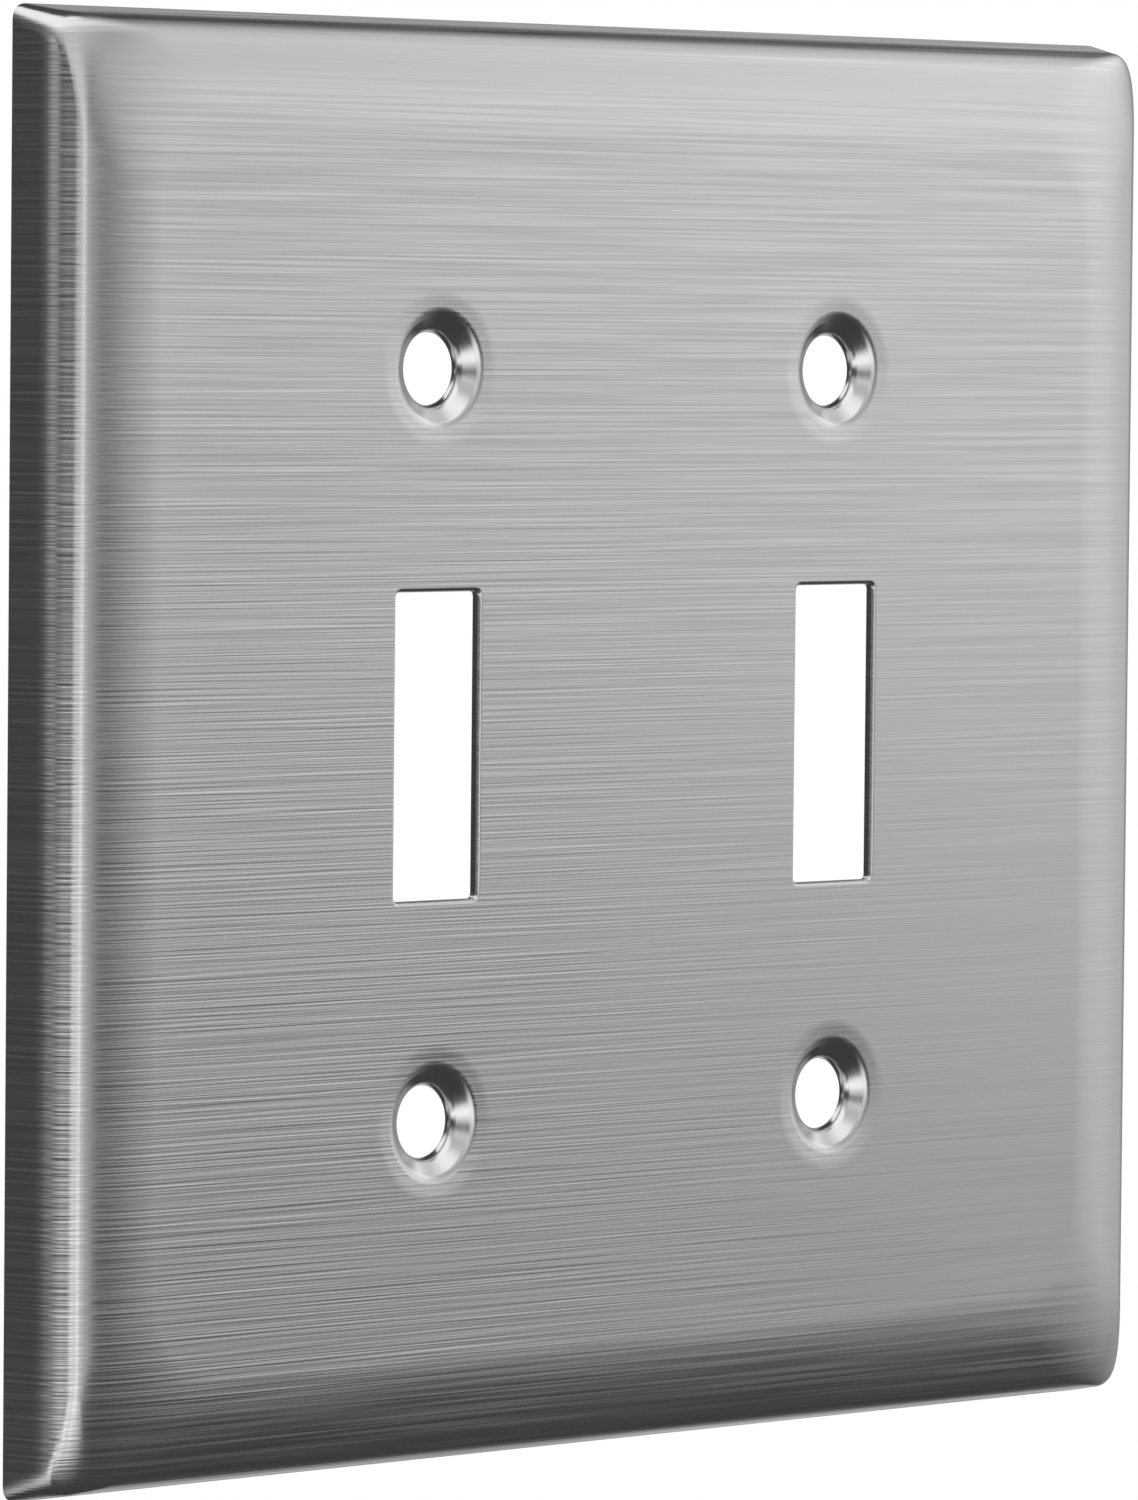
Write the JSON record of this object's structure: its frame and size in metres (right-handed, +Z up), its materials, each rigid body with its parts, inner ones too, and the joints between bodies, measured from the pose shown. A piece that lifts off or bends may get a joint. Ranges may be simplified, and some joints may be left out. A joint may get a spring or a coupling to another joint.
{
  "type": "toggle switch wall plate",
  "caption": "Brushed stainless steel cover for a double toggle switch box, pressed from one sheet with a formed rim, toggle slots and dimpled screw holes.",
  "frame": {"origin": "centre of the plate, on the plane where its rim meets the wall", "axes": "+X to the right seen from the room, +Y into the wall, +Z up; the face looks along -Y"},
  "size_m": [0.1254, 0.007, 0.1164],
  "materials": {
    "brushed_stainless": "fine horizontal brushing on the face, smooth in the pressed dimples"
  },
  "bodies": {
    "root": {"cover_plate": "brushed_stainless"}
  },
  "joints": []
}
